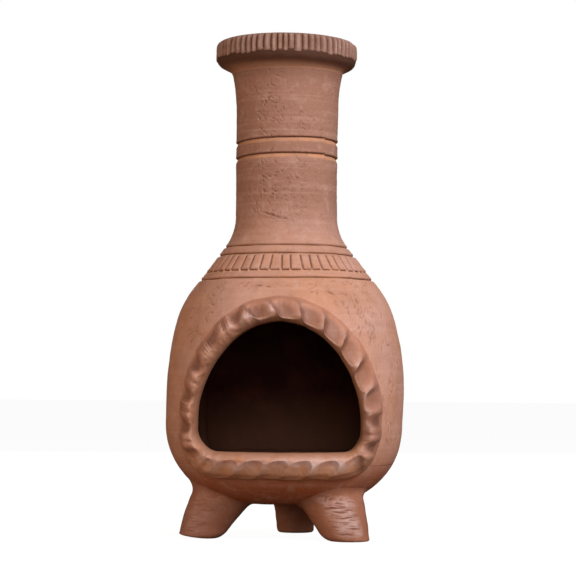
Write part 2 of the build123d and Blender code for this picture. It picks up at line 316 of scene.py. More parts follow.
class Relief:
    """Places on the plain skin, and for each how far the clay stands off it (height), how dark painted shade
    makes it in its lines, strokes and dents and under the crown, with dirt in the lines (recess), and how far
    on a line's flank it lies (flank)."""

    def __init__(self, angle, run):
        self.angle, self.run = angle, run
        self.radius, z, _ = skin(run)
        self.at = on_pot(angle, self.radius, z)
        self.height = clay_skin(self.at)
        for middle, reach, depth, right in DRAWN_IN:
            self.height -= (depth + right * np.sin(angle)) * bump(z - middle, reach)
        # painted shade on the neck under the crown's overhang
        self.recess = PAINTED_SHADE_UNDER_CROWN * ease((z - CROWN_BASE_Z) / PAINTED_SHADE_REACH + 1)
        self.flank = np.zeros_like(self.height)
        self.raise_seam()
        self.cut_neck_grooves()
        self.cut_shoulder_lines()
        self.cut_dents()

    def raise_seam(self):
        """The ridge over the mould's seam. The lines wander, and step up where they cross it."""
        to_seams = [abs(turn_between(self.angle, seam)) for seam in (SEAM_RELIEF, SEAM_RELIEF + pi)]
        self.seam = bump(np.minimum(*to_seams) * self.radius, 2.2 * MM)
        self.height += 0.35 * MM * self.seam * (0.6 + noise(self.at, 9 * MM, 7))
        past_seam = turn_between(self.angle, SEAM_RELIEF) > 0
        self.wander = 0.45 * MM * noise(self.at, 55 * MM, 8) + 0.9 * MM * past_seam

    def above(self, line, wander):
        """How far above a line each place is."""
        z, drop, rise = line
        return self.run - run_at(z) + wander + drop * (1 - np.cos(self.angle)) - rise * np.sin(self.angle)

    def carve(self, across, cut, depth, recess, flank):
        """Takes out a line's depth, raises its burr, and notes its bottom, darkened by painted shade and dirt,
        and its flank.
        """
        self.height -= depth
        self.height += BURR_HEIGHT * bump(across - cut.burr_place, cut.burr_width)
        self.recess = np.maximum(self.recess, recess)
        self.flank = np.maximum(self.flank, flank)

    def cut_neck_grooves(self):
        for line in NECK_GROOVES:
            across = self.above(line, self.wander)
            cut = incised(across, NECK_CUT)
            # painted shade and dirt along the groove's bottom
            recess = ease(1 - abs(across - 0.4 * MM) / (1.5 * MM))
            flank = ease(4 * cut) * rise(-across, 0, 1.2) * (0.75 + 0.5 * noise(self.at, 20 * MM, 26))
            self.carve(across, NECK_CUT, NECK_CUT.depth * cut * (1 - 0.4 * self.seam), recess, flank)

    def cut_shoulder_lines(self):
        places = np.append(TALLY_ANGLES - TALLY_ANGLES[0], TURN)
        phase = np.interp((self.angle - TALLY_ANGLES[0]) % TURN, places, np.arange(TALLIES + 1)) % 1
        dash = ease((0.42 - abs(phase - 0.43)) / 0.07)
        for index, line in enumerate(SHOULDER_LINES):
            across = self.above(line, 0.6 * self.wander)
            cut = incised(across, SHOULDER_CUT) * (0.9 + 0.3 * noise(self.at, 25 * MM, 9))
            if index == DASHED_LINE:
                cut = cut * (0.08 + 0.92 * dash)
            # painted shade and dirt along the line's bottom
            recess = ease(cut * 1.6 - 0.35) * rise(across, -1.7, 1.2)
            flank = 0.9 * ease(3 * cut) * rise(-across, 0, 1.0)
            self.carve(across, SHOULDER_CUT, SHOULDER_CUT.depth * cut, recess, flank)
        self.cut_tallies(phase)

    def cut_tallies(self, phase):
        """The short strokes between the second line and the third, and the pillows of clay between them."""
        top = run_at(SHOULDER_LINES[1][0]) - TALLY_TOP_GAP
        bottom = run_at(SHOULDER_LINES[DASHED_LINE][0])
        inside = rise(top - self.run, 0, 1.2) * rise(self.run - bottom, -1, 1.2)
        self.height += 0.45 * MM * inside * (1 - (2 * phase - 1) ** 2)
        for place, slant in zip(TALLY_ANGLES, TALLY_SLANTS):
            across = turn_between(self.angle, place) * self.radius + slant * (self.run - (top + bottom) / 2)
            near = abs(across) < 3 * TALLY_HALF_WIDTH
            cut = unit(1 - abs(across[near]) / TALLY_HALF_WIDTH) * inside[near]
            self.height[near] -= TALLY_DEPTH * cut
            # painted shade in the stroke
            self.recess[near] = np.maximum(self.recess[near], 0.8 * cut)

    def cut_dents(self):
        for place, dent_z, length, width, depth, slant, curve in DENTS:
            dx = turn_between(self.angle, place) * self.radius
            dz = self.run - run_at(dent_z)
            near = (abs(dx) < 3 * length) & (abs(dz) < 3 * length)
            along = (dx[near] * cos(slant) + dz[near] * sin(slant)) / length
            across = (dz[near] * cos(slant) - dx[near] * sin(slant)) / width + curve * along**2
            pit = np.exp(-(along**2) - across**2)
            burr = 0.55 * np.exp(-(along**2) - (across + 1.8) ** 2)
            self.height[near] += depth * (burr - pit)
            # painted shade in the pit, darker the deeper it is
            painted_shade = np.clip(0.32 * pit * depth / (0.8 * MM), 0, 0.5)
            self.recess[near] = np.maximum(self.recess[near], painted_shade)


# ======== meshes

def padded(values, count):
    """The values, and then zeros up to that many."""
    return np.append(values.ravel(), np.zeros(count - values.size)).astype(np.float32)


def new_piece(name, grid, wrapped, attributes, materials, slots=None):
    """A smooth mesh object from a grid of points, whose rows and columns may wrap round. Attributes are named
    arrays, one number for each point, that may leave out the last rows."""
    rows, columns = grid.shape[:2]
    mesh = bpy.data.meshes.new(name)
    mesh.from_pydata([tuple(p) for p in grid.reshape(-1, 3)], [], grid_faces(rows, columns, *wrapped))
    for key, values in attributes.items():
        mesh.attributes.new(key, "FLOAT", "POINT").data.foreach_set("value", padded(values, rows * columns))
    for material in materials:
        mesh.materials.append(material)
    if slots is not None:
        mesh.polygons.foreach_set("material_index", padded(slots, len(mesh.polygons)).astype(np.int32))
    work = bmesh.new()
    work.from_mesh(mesh)
    bmesh.ops.remove_doubles(work, verts=work.verts, dist=1e-6)
    bmesh.ops.recalc_face_normals(work, faces=work.faces)
    work.to_mesh(mesh)
    work.free()
    mesh.shade_smooth()
    mesh.set_sharp_from_angle(angle=radians(55))
    piece = bpy.data.objects.new(name, mesh)
    bpy.context.collection.objects.link(piece)
    return piece


def settle(piece, node):
    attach(piece, "root")
    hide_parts(node)


def grid_faces(rows, columns, wrap_rows, wrap_columns):
    """Quads of a grid numbered row by row, and the faces that close it where it doesn't wrap."""
    i = np.arange(rows if wrap_rows else rows - 1)[:, None]
    j = np.arange(columns if wrap_columns else columns - 1)[None, :]
    a = i * columns + j
    b = i * columns + (j + 1) % columns
    c = (i + 1) % rows * columns + (j + 1) % columns
    d = (i + 1) % rows * columns + j
    faces = np.stack(np.broadcast_arrays(a, b, c, d), axis=-1).reshape(-1, 4).tolist()
    number = np.arange(rows * columns).reshape(rows, columns)
    if not wrap_columns:
        faces += [number[:, 0].tolist(), number[:, -1].tolist()]
    if not wrap_rows:
        faces += [number[0].tolist(), number[-1].tolist()]
    return faces


def sweep(name, section, angles, materials, closed=True):
    """Sweeps a section of (r, z, tilt, run, dark) rows round the axis. Rows with a run get the relief."""
    rows, columns = len(section), len(angles)
    section = np.array(section, float)
    radius, z, tilt, run, dark = np.repeat(section.T, columns, axis=1)
    angle = np.tile(angles, rows)
    outer = run >= 0
    height, recess, flank = np.zeros((3, rows * columns))
    relief = Relief(angle[outer], run[outer])
    height[outer], recess[outer], flank[outer] = relief.height, relief.recess, relief.flank
    inner = on_pot(angle[~outer], radius[~outer], z[~outer])
    height[~outer] = dark[~outer] * lumps(inner, (0.9, 40, 11), (0.3, 12, 12))
    points = on_pot(angle, radius + height * np.cos(tilt), z + height * np.sin(tilt))
    slots = np.repeat(section[:, 4] > 0.5, columns if closed else columns - 1)
    attributes = {"recess": recess, "flank": flank}
    return new_piece(name, points.reshape(rows, columns, 3), (True, closed), attributes, materials, slots)


def outer_rows(start, end, pitch, lines=(), fine=0.5 * MM, reach=3.5 * MM):
    """Rows up the outer skin from one run to another, pitch apart, and closer near each line."""
    runs = [start]
    while runs[-1] < end:
        near = any(abs(runs[-1] - line) < reach for line in lines)
        runs.append(runs[-1] + (fine if near else pitch))
    runs = np.array(runs)
    runs = start + (runs - start) * (end - start) / (runs[-1] - start)
    return [(r, z, tilt, run, 0) for r, z, tilt, run in zip(*skin(runs), runs)]


def inner_rows(start_z, end_z, pitch):
    """Rows down the inner skin, one wall in. Above the fillet the neck's bore is straight."""
    r = SKIN[1:, 0] - WALL * np.cos(SKIN[1:, 2])
    z = SKIN[1:, 1] - WALL * np.sin(SKIN[1:, 2])
    upright = (abs(SKIN[:, 2]) < 1e-6) & (SKIN[:, 1] > FIREBOX_TOP_Z)
    above = SKIN[1:, 1] > SKIN[upright, 1].min()
    r[above], z[above] = NECK_R - WALL, SKIN[1:, 1][above]
    count = max(2, round(abs(start_z - end_z) / pitch))
    heights = np.linspace(start_z, end_z, count)
    return [(np.interp(h, z, r), h, np.interp(h, z, SKIN[1:, 2]) + pi, -1, 1) for h in heights]


def plain_row(radius, z, dark=0):
    """A row where a section turns."""
    return (radius, z, 0, -1, dark)


def circle(count):
    return np.linspace(0, TURN, count, endpoint=False)


# ======== materials

class Shader:
    """The nodes of a material or a world. Their inputs get numbers, tuples or other nodes' outputs."""

    def __init__(self, owner):
        owner.use_nodes = True
        self.tree = owner.node_tree

    def put(self, node, values):
        for key, value in values.items():
            if isinstance(value, bpy.types.NodeSocket):
                self.tree.links.new(value, node.inputs[key])
            else:
                node.inputs[key].default_value = value
        return node

    def add(self, kind, values=None, **settings):
        made = self.tree.nodes.new("ShaderNode" + kind)
        for key, setting in settings.items():
            setattr(made, key, setting)
        return self.put(made, values or {})

    def height(self):
        return self.add("SeparateXYZ", {0: self.add("TexCoord").outputs["Object"]}).outputs["Z"]

    def named(self, attribute):
        return self.add("Attribute", attribute_name=attribute).outputs["Fac"]

    def clouds(self, scale, detail, stretch=(1, 1, 1)):
        place = self.add("TexCoord").outputs["Object"]
        at = self.add("Mapping", {"Scale": stretch, "Vector": place}).outputs["Vector"]
        values = {"Scale": scale, "Detail": detail, "Roughness": 0.6, "Vector": at}
        return self.add("TexNoise", values).outputs["Fac"]

    def ramp(self, value, low, high, to_high=1.0, to_low=0.0):
        values = {"Value": value, "From Min": low, "From Max": high, "To Min": to_low, "To Max": to_high}
        return self.add("MapRange", values).outputs["Result"]

    def times(self, first, second):
        return self.add("Math", {0: first, 1: second}, operation="MULTIPLY").outputs[0]

    def mix(self, factor, first, second):
        """The second colour over the first."""
        return self.add("Mix", {0: factor, 6: first, 7: second}, data_type="RGBA").outputs[2]

    def finish(self, colour, specular, polish_and_highlight=0.0):
        """Colours the surface and gives it a fine grain, which is smoother the more polished the clay is."""
        bumps = self.add("Bump", {"Strength": 0.35, "Distance": 0.5 * MM, "Height": self.clouds(520, 6)})
        self.put(self.tree.nodes["Principled BSDF"], {
            "Base Color": colour,
            "Roughness": self.ramp(self.clouds(300, 5), 0.3, 0.7, 0.92 - 0.25 * polish_and_highlight, 0.70 - 0.3 * polish_and_highlight),
            "Specular IOR Level": specular,
            "Normal": bumps.outputs["Normal"],
        })


def clay(name, tone=1.0, warmth=0.0, dust_and_sheen=0.0, polish_and_highlight=0.0, streaks=0.34, underside=0.95):
    """Unglazed terracotta, dark with painted shade and dirt in its lines, with painted shade in its hollows
    and under the bowl, and paler and greyer with dust and a painted sheen on its crests and painted highlights
    on its edges.
    """
    material = bpy.data.materials.new(name)
    shader = Shader(material)
    clouds, ramp, times, named = shader.clouds, shader.ramp, shader.times, shader.named
    height, edges = shader.height(), shader.add("NewGeometry").outputs["Pointiness"]

    def shade(r, g, b):
        return (r * tone, g * tone * (1 - warmth), b * tone * (1 - 1.6 * warmth), 1)

    pink, orange = shade(0.51, 0.262, 0.192), shade(0.50, 0.227, 0.133)
    colour = shader.mix(ramp(clouds(11, 4), 0.40, 0.62), pink, orange)
    layers = [
        # brown up the neck, redder lower down, and a dark red painted shade on the bowl's underside
        (ramp(height, 0.33, 0.41, 0.92), shade(0.297, 0.138, 0.091)),
        (ramp(height, 0.22, 0.11, 0.5), shade(0.40, 0.160, 0.085)),
        (ramp(height, 0.105, 0.060, underside), shade(0.29, 0.062, 0.012)),
        # dark clouds, pale streaks round the pot, pale spots, and dark and pale specks
        (ramp(clouds(38, 6), 0.42, 0.72, 0.42), shade(0.31, 0.145, 0.095)),
        (ramp(clouds(26, 5, (0.25, 0.25, 7)), 0.5, 0.75, streaks), shade(0.60, 0.34, 0.26)),
        (ramp(clouds(70, 5), 0.52, 0.72, 0.30), shade(0.58, 0.36, 0.29)),
        (ramp(clouds(420, 4), 0.56, 0.74, 0.34), shade(0.20, 0.075, 0.045)),
        (ramp(clouds(560, 2, (1, 1, 1.4)), 0.60, 0.76, 0.24), shade(0.75, 0.50, 0.40)),
        # painted shade in the hollows, and painted highlights on the edges, stronger the more polished the
        # clay is
        (ramp(edges, 0.5, 0.40, 0.55), shade(0.17, 0.060, 0.032)),
        (ramp(edges, 0.52, 0.60, 0.06 + 0.5 * polish_and_highlight), shade(0.66, 0.42, 0.34)),
        # fresh clay on a line's flank and the lip's inner slope, and painted light on the sill's outer face;
        # painted shade in lines, dents, hollows, folds and under overhangs, with dirt in the lines
        (times(named("flank"), 0.85), (0.56, 0.25, 0.125, 1)),
        (times(named("recess"), 0.88), shade(0.096, 0.030, 0.014)),
    ]
    # dust and a painted sheen on the crests
    if dust_and_sheen:
        crest_dust_and_sheen = times(named("crest"), ramp(clouds(60, 5), 0.34, 0.60))
        layers.append((times(crest_dust_and_sheen, dust_and_sheen), (0.60, 0.41, 0.37, 1)))
    for factor, layer in layers:
        colour = shader.mix(factor, colour, layer)
    shader.finish(colour, 0.3 + 0.3 * polish_and_highlight, polish_and_highlight)
    return material


def dark_inside_clay(name):
    """The inside: near black, and paler towards the bottom."""
    material = bpy.data.materials.new(name)
    shader = Shader(material)
    patches = shader.ramp(shader.clouds(22, 4), 0.4, 0.65)
    colour = shader.mix(patches, (0.016, 0.003, 0.002, 1), (0.034, 0.007, 0.004, 1))
    colour = shader.mix(shader.ramp(shader.height(), 0.18, 0.06), colour, (0.100, 0.044, 0.026, 1))
    shader.finish(colour, 0.06)
    return material


BODY = clay("terracotta_body")
LIP = clay("terracotta_lip", tone=0.91, warmth=0.13, dust_and_sheen=0.8, polish_and_highlight=0.6)
FOOT = clay("terracotta_foot", tone=0.77, warmth=0.09, dust_and_sheen=0.55, polish_and_highlight=0.5, streaks=0.10, underside=0.35)
CROWN = clay("terracotta_crown", tone=0.70, dust_and_sheen=0.35)
DARK_INSIDE = dark_inside_clay("dark_inside_clay")


# ======== bowl, firebox, chimney

def compass(start, end, count):
    a = np.radians(np.linspace(start, end, count))
    return np.stack([np.cos(a), np.sin(a)], axis=1)


def mouth_path():
    """The opening's outline, clockwise from the top: points, outward normals, and places along the lip."""
    across = compass(90, 0, 600)
    arch = across * (MOUTH_HALF_WIDTH, MOUTH_RISE) + (0, MOUTH_SPRING_Z)
    arch_normals = across / (MOUTH_HALF_WIDTH, MOUTH_RISE)
    corner = (MOUTH_HALF_WIDTH - MOUTH_CORNER, MOUTH_SILL_Z + MOUTH_CORNER)
    bend_normals = compass(0, -90, 90)
    bend = bend_normals * MOUTH_CORNER + corner
    half = np.vstack([arch, bend, [(0, MOUTH_SILL_Z)]])
    normals = np.vstack([arch_normals, bend_normals, [(0, -1)]])
    normals /= np.hypot(*normals.T)[:, None]
    half_run = lengths_along(half)
    fine = np.linspace(0, half_run[-1], 1600)
    x, z, normal_x, normal_z = [np.interp(fine, half_run, v) for v in (*half.T, *normals.T)]
    half, normals = np.stack([x, z], axis=1), np.stack([normal_x, normal_z], axis=1)
    points = np.vstack([half, half[-2::-1] * (-1, 1)])
    normals = np.vstack([normals, normals[-2::-1] * (-1, 1)])
    normals /= np.hypot(*normals.T)[:, None]
    return points, normals, lengths_along(points + normals * LIP_MID)


MOUTH, MOUTH_NORMALS, MOUTH_PLACE = mouth_path()
LIP_LENGTH = MOUTH_PLACE[-1]


def cut_mouth(piece):
    """Cuts the mouth through the front wall, as wide as the lip's flange."""
    outline = (MOUTH + MOUTH_NORMALS * FLANGE)[:-1:12]
    points = np.array([[(x, y, z) for x, z in outline] for y in CUTTER_Y])
    cutter = new_piece("mouth_cutter", points, (False, True), {}, [])
    cut = piece.modifiers.new("mouth", "BOOLEAN")
    cut.operation, cut.solver, cut.object = "DIFFERENCE", "EXACT", cutter
    graph = bpy.context.evaluated_depsgraph_get()
    mesh = bpy.data.meshes.new_from_object(piece.evaluated_get(graph))
    piece.modifiers.clear()
    piece.data = mesh
    bpy.data.objects.remove(cutter)


def lap_rows(radius, z):
    """The two corners of a lap, from below."""
    return [plain_row(radius, z), plain_row(radius, z + LAP)]


def build_bowl():
    inner_bottom = BOWL_Z + WALL
    section = outer_rows(0.4 * MM, run_at(BASE_TOP_Z), BOWL_ROW) + lap_rows(BASE_LAP_R, BASE_TOP_Z)
    section += inner_rows(BASE_TOP_Z + LAP, inner_bottom + 0.05 * MM, 2.5 * MM)
    flat_edge = section[-1][0]
    section += [(r, inner_bottom, pi / 2, -1, 1) for r in np.linspace(flat_edge, 0.4 * MM, 12)[1:]]
    bowl = sweep("bowl", section, circle(2 * SIDE_COLUMNS), (BODY, DARK_INSIDE))
    settle(bowl, "base_bowl")


def build_shells(stem, section, columns):
    """The halves in front of and behind the upright seams."""
    for side, start in (("front", SEAM_ANGLE - 180), ("rear", SEAM_ANGLE)):
        angles = np.radians(start + np.linspace(0, 180, columns + 1))
        shell = sweep(f"{stem}_{side}", section, angles, (BODY, DARK_INSIDE), closed=False)
        if (stem, side) == ("firebox", "front"):
            cut_mouth(shell)
        settle(shell, f"{stem}_{side}_shell")


def build_firebox():
    lines = [run_at(z) for z, _, _ in SHOULDER_LINES]
    section = outer_rows(run_at(BASE_TOP_Z), run_at(FIREBOX_TOP_Z), FIREBOX_ROW, lines)
    section += lap_rows(NECK_LAP_R, FIREBOX_TOP_Z)
    section += inner_rows(FIREBOX_TOP_Z + LAP, BASE_TOP_Z + LAP, 5.5 * MM)
    section += lap_rows(BASE_LAP_R, BASE_TOP_Z)[::-1]
    build_shells("firebox", section, SIDE_COLUMNS)


def build_chimney():
    lines = [run_at(z) for z, _, _ in (*NECK_GROOVES, SHOULDER_LINES[0])]
    section = outer_rows(run_at(FIREBOX_TOP_Z), run_at(CROWN_BASE_Z), CHIMNEY_ROW, lines)
    section += [plain_row(NECK_R, CROWN_BASE_Z), plain_row(NECK_R, NECK_TOP_Z)]
    section += [plain_row(NECK_R - WALL, NECK_TOP_Z, 1)]
    section += inner_rows(NECK_TOP_Z - 4 * MM, FIREBOX_TOP_Z + LAP, 5 * MM)
    section += lap_rows(NECK_LAP_R, FIREBOX_TOP_Z)[::-1]
    build_shells("chimney", section, NECK_COLUMNS)


# ======== lip

# Rows of thumb marks: the first one's place along the lip, their spacing and number, how far across the lip,
# half length, half width, depth, lean along the lip for each step across it, and how much they push the crest
# towards the opening. Millimetres, clockwise from the top of the arch.
THUMB_ROWS = [
    (10.5, 31.3, 5, 15.0, 17.0, 9.5, 6.6, -0.90, 1.2),
    (167, 1, 1, 15.5, 14.5, 9.0, 5.0, -0.60, 0.6),
    (190, 1, 1, 18.0, 10.0, 13.0, 5.8, 0.0, 0.0),
    (221, 1, 1, 18.0, 9.0, 12.0, 6.2, -0.3, 0.0),
    (246, 29.5, 7, 20.5, 16.4, 11.5, 5.0, 0.60, 0.35),
    (434, 35.5, 5, 20.0, 11.0, 16.0, 7.2, 0.35, 0.0),
    (611, 1, 1, 20.0, 10.5, 15.0, 7.2, 0.2, 0.0),
    (641, 1, 1, 15.0, 13.0, 10.0, 6.6, -0.6, 0.6),
]
# Nicks that finger nails left across the lip: place, distance across and number.
NAIL_MARKS = [(491, 20, 3), (566, 15, 3), (598, 17, 3), (628, 16, 2)]
NAIL_SPACING, NAIL_LEAN, NAIL_HALF_WIDTH = 3.3, 0.3, 1.15
# How far the hand-cut opening is wider or narrower than drawn, at places along the lip.
EDGE_SHIFTS = (
    (0, 60, 110, 150, 185, 222, 245, 335, 415, 440, 465, 500, 530, 570, 620, 670),
    (-1.2, -1.9, -2.6, -2.2, -1.8, -2.5, -0.5, 0, -0.5, -0.6, 1.8, 1.6, -0.6, -2.6, -2.2, -1.2),
)
# Places along the lip, and how much dust and painted sheen its crest has there, how much painted shade its
# hollows get, and how much its crevices get.
LIP_DUST_AND_SHEEN = (0, 175, 200, 232, 250, 425, 445, 590, 620, 670), (1, 1, 0.2, 0.3, 1, 1, 0.2, 0.2, 1, 1)
HOLLOW_PAINTED_SHADE = (0, 175, 200, 240, 250, 425, 440, 630, 640, 670), (1, 0.9, 1.2, 1.2, 0, 0, 1, 1, 1, 1)
CREVICE_PAINTED_SHADE = (0, 230, 250, 430, 450, 670), (1, 1, 0.35, 0.35, 1, 1)
# The lip's plain section: the share across it, 1 at its outer edge, 0 on its crest and -1 at the opening, and
# how many millimetres it stands off the skin.
LIP_SECTION = smooth_line([
    (1, -0.7), (0.96, 0.1), (0.89, 1.5), (0.79, 4.4), (0.63, 8.7), (0.38, 12.3), (0.10, 13.8), (-0.14, 13.2),
    (-0.42, 10.2), (-0.70, 6.0), (-0.92, 1.2), (-1, -4.5), (-1, -9), (-1, -13),
], 5)
# How much fuller the sill is than the arch, at shares across it.
SILL_FULLNESS = (0, 0.3, 0.75, 0.92, 1), (0, 2.4, 6.6, 5.6, 0)
# The lip's back: the share of the way from the flange to its outer edge, and millimetres off the skin.
LIP_BACK = ((0.0, -13.0), (0.0, -7.0), (0.0, -1.8), (0.33, -1.9), (0.66, -2.0))
LIP_LOOP = LIP_LENGTH / MM


def lay_thumb_marks():
    marks = []
    for start, spacing, count, across, half_length, half_width, depth, lean, push in THUMB_ROWS:
        for i in range(count):
            place = start + i * spacing + DRAW.normal(0, 0.8)
            half = half_length * DRAW.uniform(0.95, 1.06)
            marks.append((place, across, half, half_width, depth * DRAW.uniform(0.88, 1.12), lean, push))
    return marks


THUMB_MARKS = lay_thumb_marks()


def lip_width(places):
    """How far the lip spreads from the opening: most under the sill, and least at the lower right corner."""
    spread = MOUTH_NORMALS[:, 1]
    outer = LIP_SIDE + np.where(spread > 0, LIP_TOP - LIP_SIDE, LIP_BOTTOM - LIP_SIDE) * spread**2
    width = np.interp(places % LIP_LENGTH, MOUTH_PLACE, outer)
    line = np.stack([places, 0 * places, 0 * places], axis=1)
    return width - 3.5 * MM * bump(places % LIP_LENGTH - 214 * MM, 26 * MM) + lumps(line, (1.6, 21, 13))


Pressed = namedtuple("Pressed", "hollow raised push crevice")


def thumbed(along, across, proud):
    """The thumb marks: depth, the clay raised beside them, push on the crest, and the crevice that each starts
    with, which painted shade darkens. Marks with a strong push are crisp, and the others are soft dishes."""
    hollow, raised, push, crevice = np.zeros((4, *along.shape))
    for place, centre, half_length, half_width, depth, lean, strength in THUMB_MARKS:
        off = (along - place - lean * (across - LIP_MID / MM) + LIP_LOOP / 2) % LIP_LOOP - LIP_LOOP / 2
        off = off / half_length
        beside = (across - centre) / half_width
        crisp = min(1, 2.5 * strength)
        dish = unit(1 - off**2 - beside**2)
        shape = crisp * dish * (1 - 0.5 * off) + (1 - crisp) * dish**1.4
        hollow = np.maximum(hollow, depth * shape)
        shoulder = bump(abs(off) - 1.25, 0.40) * bump(beside, 0.9)
        raised = np.maximum(raised, (1 - crisp) * 0.38 * depth * shoulder)
        push = np.maximum(push, strength * ease((off + 1.15) / 0.42) * unit(0.62 - 0.62 * off))
        crevice = np.maximum(crevice, crisp * bump(off + 0.78, 0.20) * unit(1.3 - abs(beside)))
    return Pressed(np.minimum(hollow, 0.70 * np.maximum(proud, 0)), raised, push, crevice)


def nailed(along, across):
    """Depth of the nail marks."""
    nails = np.zeros(along.shape)
    for place, centre, count in NAIL_MARKS:
        for k in range(count):
            middle = place + NAIL_SPACING * (k - (count - 1) / 2) + NAIL_LEAN * (across - centre)
            off = along % LIP_LOOP - middle
            nails += unit(1 - abs(off) / NAIL_HALF_WIDTH) * ease(1.7 - abs(across - centre) / 4.5)
    return nails


def on_lip(places, off, stand):
    """Points that far across the lip and off the skin, both in millimetres, and the skin's radius there."""
    where = places % LIP_LENGTH
    x, z, normal_x, normal_z = [np.interp(where, MOUTH_PLACE, v) for v in (*MOUTH.T, *MOUTH_NORMALS.T)]
    x = x + off * MM * normal_x
    z = z + off * MM * normal_z
    radius, _, tilt = skin(run_at(z))
    out = radius + stand * MM / np.cos(tilt)
    return np.stack([x, -np.sqrt(np.maximum(out**2 - x**2, 1e-9)), z], axis=-1), radius


def roughen(places, around, off, stand):
    """The lip's front with the pot's relief near its edges and its own lumps, rougher on the left."""
    points, radius = on_lip(places, off, stand)
    x, z = points[..., 0], points[..., 2]
    angle = np.arctan2(x, np.sqrt(np.maximum(radius**2 - x**2, 1e-9)))
    pot = Relief(angle.ravel(), run_at(z).ravel()).height.reshape(x.shape)
    left = ease((around.ravel() - 400) / 40)
    at = points.reshape(-1, 3)
    own = lumps(at, (0.8, 26, 14), (0.45 + 0.9 * left, 12, 15), (0.28 + 0.22 * left, 4.5, 16))
    body = ease((stand - 0.5) / 6)
    return on_lip(places, off, stand + (pot * (1 - 0.55 * body) + own.reshape(x.shape) * body) / MM)[0]


def lip_shades(around, across, down, marks, nails):
    """Where the lip has dust and a painted sheen, painted shade, fresh clay, or painted light."""
    # dust and a painted sheen on the crest between the hollows
    ridge = bump(across - 13 - 2 * down, 5 + 4 * down) * unit(1 - marks.hollow / (3 + 6 * down))
    # painted shade in the thumb hollows and crevices, near the opening, in the nail nicks and where the arch's
    # inner slope faces down, and a darker patch round the lower right corner
    painted_shade = 0.62 * np.interp(around, *HOLLOW_PAINTED_SHADE) * unit(marks.hollow / 5) ** 2
    painted_shade += 0.95 * marks.crevice * np.interp(around, *CREVICE_PAINTED_SHADE)
    painted_shade += 0.30 * ease((8 - across) / 4) + nails
    painted_shade += 0.42 * bump(around - 205, 30) + 0.50 * ease((12 - across) / 4) * (1 - down)
    # an orange tint on the slope into the opening, and painted light on the sill's outer face, which faces
    # down
    slope_tint_and_sill_light = 0.6 * ease((12 - across) / 4) + 0.75 * down * ease((across - 13) / 3)
    return {"crest": ridge * np.interp(around, *LIP_DUST_AND_SHEEN), "recess": 0.8 * unit(painted_shade), "flank": slope_tint_and_sill_light}


def lip_piece(name, node, start, end):
    """A length of the lip, in rows from its outer edge over the crest to the opening, and back behind."""
    places = np.linspace(start, end, round((end - start) / LIP_STEP))
    share, proud = LIP_SECTION[:, :1], LIP_SECTION[:, 1:]
    outer_part = LIP_CREST + share * (lip_width(places) - LIP_CREST)
    across = np.where(share > 0, outer_part, LIP_CREST * (1 + share)) / MM
    along = np.broadcast_to(places / MM, across.shape)
    around = along % LIP_LOOP
    down = np.interp(places % LIP_LENGTH, MOUTH_PLACE, unit(-MOUTH_NORMALS[:, 1]))

    marks, nails = thumbed(along, across, proud), nailed(along, across)
    pushed = marks.push * bump(across - LIP_CREST / MM, 7.0)
    edge = np.interp(around, *EDGE_SHIFTS) * ease((12 - across) / 10)
    outward = unit((across - LIP_CREST / MM) / 6 + 0.6)
    off = across + edge - 5.2 * pushed - 0.25 * marks.hollow * outward
    stand = proud + marks.raised - 0.95 * marks.hollow - 0.5 * pushed - 0.9 * nails
    stand = stand + down * np.interp(share, *SILL_FULLNESS)

    flange = FLANGE / MM
    back = [on_lip(places, flange + part * (off[0] - flange), depth)[0] for part, depth in LIP_BACK]
    grid = np.concatenate([roughen(places, around, off, stand), np.array(back)], axis=0)
    attributes = lip_shades(around, across, down, marks, nails)
    settle(new_piece(name, grid, (True, False), attributes, [LIP]), node)


def build_lip():
    """The lip is cut where it turns between the sides and the sill."""
    right = np.arange(len(MOUTH)) < len(MOUTH) // 2
    bend = np.argmin(abs(MOUTH_NORMALS[:, 0] + MOUTH_NORMALS[:, 1]) + ~right)
    join = MOUTH_PLACE[bend]
    lip_piece("mouth_arch", "mouth_arch_lip", -join, join)
    lip_piece("mouth_sill", "mouth_sill_lip", join, LIP_LENGTH - join)


# ======== crown

FLUTES = 64
BORE = NECK_R - WALL
# The crown's outside from the flue to the neck, in millimetres: radius, depth under the top, share of a rib.
CROWN_PROFILE = [
    (50.2, 1.6, 0), (54, 0, 0), (66, 0.2, 0), (76, 0.8, 0.1), (81.6, 2.4, 0.6), (84.2, 5.4, 1),
    (84.9, 9.5, 1), (85.1, 14.5, 1), (85.1, 19.5, 0.95), (84.9, 21.2, 0.6), (84.4, 22.8, 0.15),
    (84.0, 24.2, 0), (83.4, 26.4, 0), (81.8, 28.6, 0), (79.2, 30.6, 0), (74.8, 32.8, 0), (70.2, 35.4, 0),
    (67.5, 38.0, 0), (66.8, 40, 0),
]
# How far off true the crown was set: to the right, up at the front, and down towards the back and the right.
CROWN_SHIFT, CROWN_RISE, CROWN_SINK, CROWN_TILT = 1.0 * MM, 2.0 * MM, 3.2 * MM, 1.2 * MM
RIB_HEIGHT, RIB_SINK, RIB_END = 2.9 * MM, 2.5 * MM, 2.4 * MM
# Painted shadow under the ribs, by depth under the top.
UNDER_RIBS = (25 * MM, 30 * MM, 36 * MM, HEIGHT - CROWN_BASE_Z), (1.1, 0.85, 0.25, 0.1)


